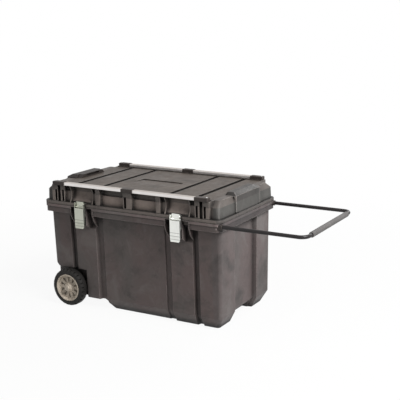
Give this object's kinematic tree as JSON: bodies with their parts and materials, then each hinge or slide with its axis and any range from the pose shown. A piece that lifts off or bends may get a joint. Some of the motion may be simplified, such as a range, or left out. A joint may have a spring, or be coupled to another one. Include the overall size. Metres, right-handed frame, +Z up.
{
  "type": "jobsite storage box",
  "caption": "Large wheeled jobsite storage chest with hinged ribbed lid, metal tie-down rails, draw latches and a pull-out tube handle.",
  "frame": {"origin": "floor plane under the middle of the box, on its flat underside", "axes": "+X towards the pull-out handle, -Y the latch side, +Z up"},
  "size_m": [1.323, 0.547, 0.589],
  "materials": {
    "tub_plastic": "charcoal structural foam, faint swirl marks",
    "lid_plastic": "charcoal structural foam, light sheen",
    "dark_plastic": "moulded, fine grain",
    "seal_rubber": "foam rubber cord",
    "rail_aluminium": "clear anodised, drawn lines",
    "latch_steel": "stamped stainless sheet",
    "plain_steel": "zinc plated",
    "tube_black": "black powder coat",
    "grip_rubber": "grey grip sleeve",
    "tyre_rubber": "hard black tread",
    "hub_plastic": "light grey moulded wheel"
  },
  "bodies": {
    "chest": {"axle": "plain_steel", "axle_cap_front": "dark_plastic", "axle_cap_rear": "dark_plastic", "axle_washer_front": "plain_steel", "axle_washer_rear": "plain_steel", "body_tub": "tub_plastic", "handle_guide_front": "dark_plastic", "handle_guide_rear": "dark_plastic", "hinge_pin_left": "plain_steel", "hinge_pin_right": "plain_steel", "latch_base_left": "latch_steel", "latch_base_right": "latch_steel", "latch_pivot_pins_left": "latch_steel", "latch_pivot_pins_right": "latch_steel", "latch_rivets": "latch_steel"},
    "lid": {"lid_shell": "lid_plastic", "lid_seal": "seal_rubber", "lid_grip": "dark_plastic", "rail_front": "rail_aluminium", "rail_rear": "rail_aluminium", "rail_clamp_front": "dark_plastic", "rail_clamp_rear": "dark_plastic", "rail_cap_front_left": "dark_plastic", "rail_cap_front_right": "dark_plastic", "rail_cap_rear_left": "dark_plastic", "rail_cap_rear_right": "dark_plastic", "rail_screws": "plain_steel", "latch_keeper_left": "latch_steel", "latch_keeper_right": "latch_steel"},
    "handle": {"handle_tube": "tube_black", "handle_grip": "grip_rubber", "handle_stop_front": "dark_plastic", "handle_stop_rear": "dark_plastic"},
    "wheel_front": {"tyre_front": "tyre_rubber", "hub_front": "hub_plastic"},
    "wheel_rear": {"tyre_rear": "tyre_rubber", "hub_rear": "hub_plastic"},
    "lever_left": {"latch_lever_left": "latch_steel", "latch_link_pin_left": "latch_steel"},
    "lever_right": {"latch_lever_right": "latch_steel", "latch_link_pin_right": "latch_steel"},
    "hook_left": {"latch_hook_left": "latch_steel"},
    "hook_right": {"latch_hook_right": "latch_steel"}
  },
  "joints": [
    {"name": "lid_hinge", "type": "hinge", "parent": "chest", "child": "lid", "pos_m": [0, 0.265, 0.482], "axis": [-1, 0, 0], "range_deg": [0, 95]},
    {"name": "handle_slide", "type": "slide", "parent": "chest", "child": "handle", "axis": [1, 0, 0], "range_m": [-0.34, 0]},
    {"name": "wheel_front_spin", "type": "hinge", "parent": "chest", "child": "wheel_front", "pos_m": [-0.357, -0.23, 0.087], "axis": [0, 1, 0], "continuous": true},
    {"name": "wheel_rear_spin", "type": "hinge", "parent": "chest", "child": "wheel_rear", "pos_m": [-0.357, 0.23, 0.087], "axis": [0, 1, 0], "continuous": true},
    {"name": "latch_left_lever", "type": "hinge", "parent": "chest", "child": "lever_left", "pos_m": [-0.253, -0.262, 0.497], "axis": [-1, 0, 0], "range_deg": [0, 110]},
    {"name": "latch_left_hook", "type": "hinge", "parent": "lever_left", "child": "hook_left", "pos_m": [-0.253, -0.262, 0.483], "axis": [1, 0, 0], "range_deg": [0, 110]},
    {"name": "latch_right_lever", "type": "hinge", "parent": "chest", "child": "lever_right", "pos_m": [0.253, -0.262, 0.497], "axis": [-1, 0, 0], "range_deg": [0, 110]},
    {"name": "latch_right_hook", "type": "hinge", "parent": "lever_right", "child": "hook_right", "pos_m": [0.253, -0.262, 0.483], "axis": [1, 0, 0], "range_deg": [0, 110]}
  ],
  "couplings": [
    {"joint": "latch_left_hook", "follows": "latch_left_lever", "ratio": 1},
    {"joint": "latch_right_hook", "follows": "latch_right_lever", "ratio": 1}
  ]
}
